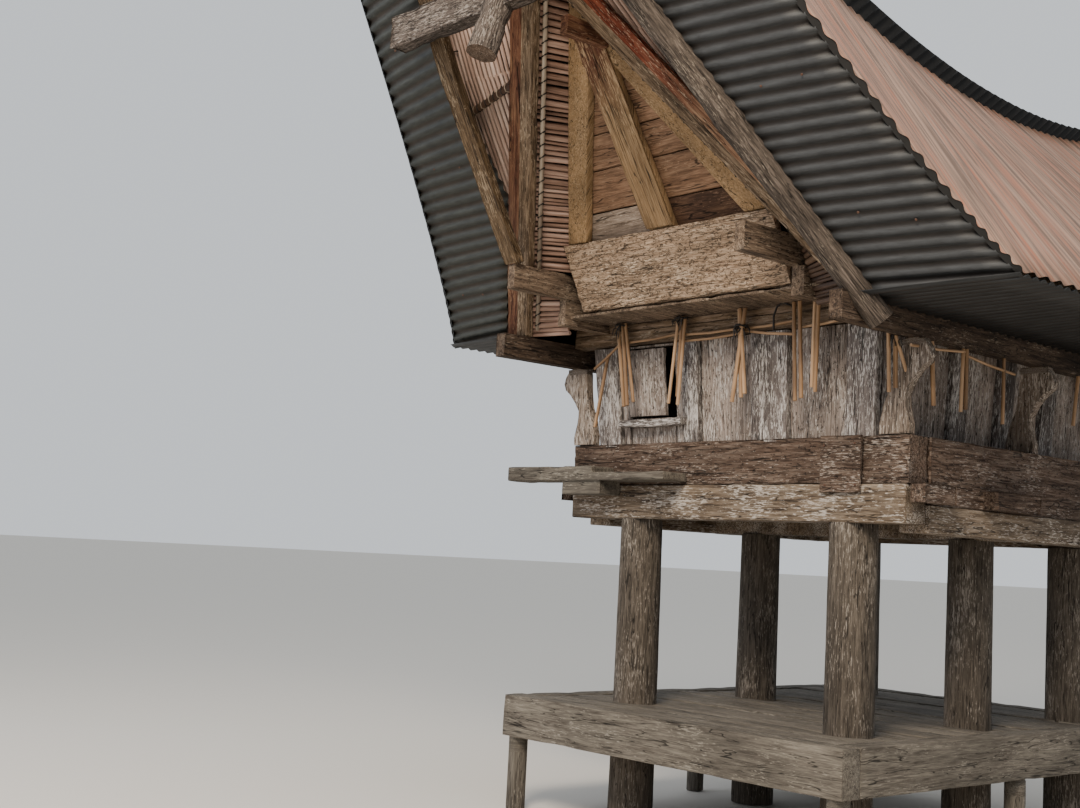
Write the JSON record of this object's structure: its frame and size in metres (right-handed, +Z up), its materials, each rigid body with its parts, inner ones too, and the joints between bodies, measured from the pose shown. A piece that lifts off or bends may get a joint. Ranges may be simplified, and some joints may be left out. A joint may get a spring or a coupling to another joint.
{
  "type": "tongkonan-style rice barn on posts",
  "caption": "Raised wooden rice barn on round posts with a sitting platform, boarded store, open-work gables and a saddle roof of corrugated sheet with a tall front prow.",
  "frame": {"origin": "on the ground, under the middle of the roof's length and width", "axes": "+Z up, +Y towards the rear prow, -Y towards the tall front prow, +X to the right side of the front gable"},
  "size_m": [4.32, 10.65, 8.5181],
  "materials": {
    "post_wood": "round hardwood posts, weathered grey-brown with pale flecks",
    "platform_wood": "sawn planks, weathered grey-tan, worn smooth on top",
    "beam_wood": "hewn beams, dark brown going pale and lichen-stained on the right",
    "sill_wood": "sill timbers, dark reddish brown, eroded by weather and insects",
    "wall_wood": "wall boards, rough tan-pink panels between grey-violet stiles with white streaks",
    "plate_wood": "plates, brackets and beam ends, grey-brown boards on edge",
    "cross_board_wood": "broad board, pinkish tan, cut by insect tracks",
    "red_board": "smooth red-brown boards",
    "ochre_board": "mottled ochre-brown boards",
    "rafter_log": "peeled logs, grey-brown with open grain",
    "bamboo": "split bamboo and cane, orange-tan",
    "rusty_sheet": "corrugated zinc-coated steel, dull, streaked with pink and orange rust",
    "grey_sheet": "corrugated zinc-coated steel, dark slate grey"
  },
  "bodies": {
    "root": {"post_front_right": "post_wood", "post_front_left": "post_wood", "post_middle_right": "post_wood", "post_middle_left": "post_wood", "post_rear_right": "post_wood", "post_rear_left": "post_wood", "platform_beam_front": "platform_wood", "platform_beam_rear": "platform_wood", "platform_beam_left": "platform_wood", "platform_beam_right": "platform_wood", "platform_deck": "platform_wood", "shelf": "platform_wood", "floor_beam_front": "beam_wood", "floor_beam_rear": "beam_wood", "store_floor": "beam_wood", "sill_front": "sill_wood", "sill_rear": "sill_wood", "sill_right": "sill_wood", "sill_left": "sill_wood", "wall_front": "wall_wood", "wall_rear": "wall_wood", "wall_right": "wall_wood", "wall_left": "wall_wood", "hatch_plank": "wall_wood", "hatch_ledge": "wall_wood", "plate_right": "plate_wood", "plate_left": "plate_wood", "gable_beams_front": "plate_wood", "gable_beams_rear": "plate_wood", "cross_board_front": "cross_board_wood", "cross_board_rear": "cross_board_wood", "gable_wall_front": "red_board", "gable_wall_rear": "red_board", "inner_rafter_front_right": "red_board", "inner_rafter_front_left": "red_board", "inner_rafter_rear_right": "red_board", "inner_rafter_rear_left": "red_board", "outer_rafter_front_left": "red_board", "gable_boards_front": "ochre_board", "gable_boards_rear": "ochre_board", "outer_rafter_front_right": "rafter_log", "outer_rafters_rear": "rafter_log", "tie_beam": "rafter_log", "king_post": "rafter_log", "ridge_pole": "rafter_log", "lining_front_right": "bamboo", "lining_front_left": "bamboo", "upper_lining_front": "bamboo", "lining_rear_right": "bamboo", "lining_rear_left": "bamboo", "upper_lining_rear": "bamboo", "roof_slope_right": "rusty_sheet", "roof_slope_left": "rusty_sheet", "soffit_front_right": "grey_sheet", "soffit_front_left": "grey_sheet", "soffit_rear": "grey_sheet", "soffit_right": "grey_sheet", "soffit_left": "grey_sheet"}
  },
  "joints": []
}
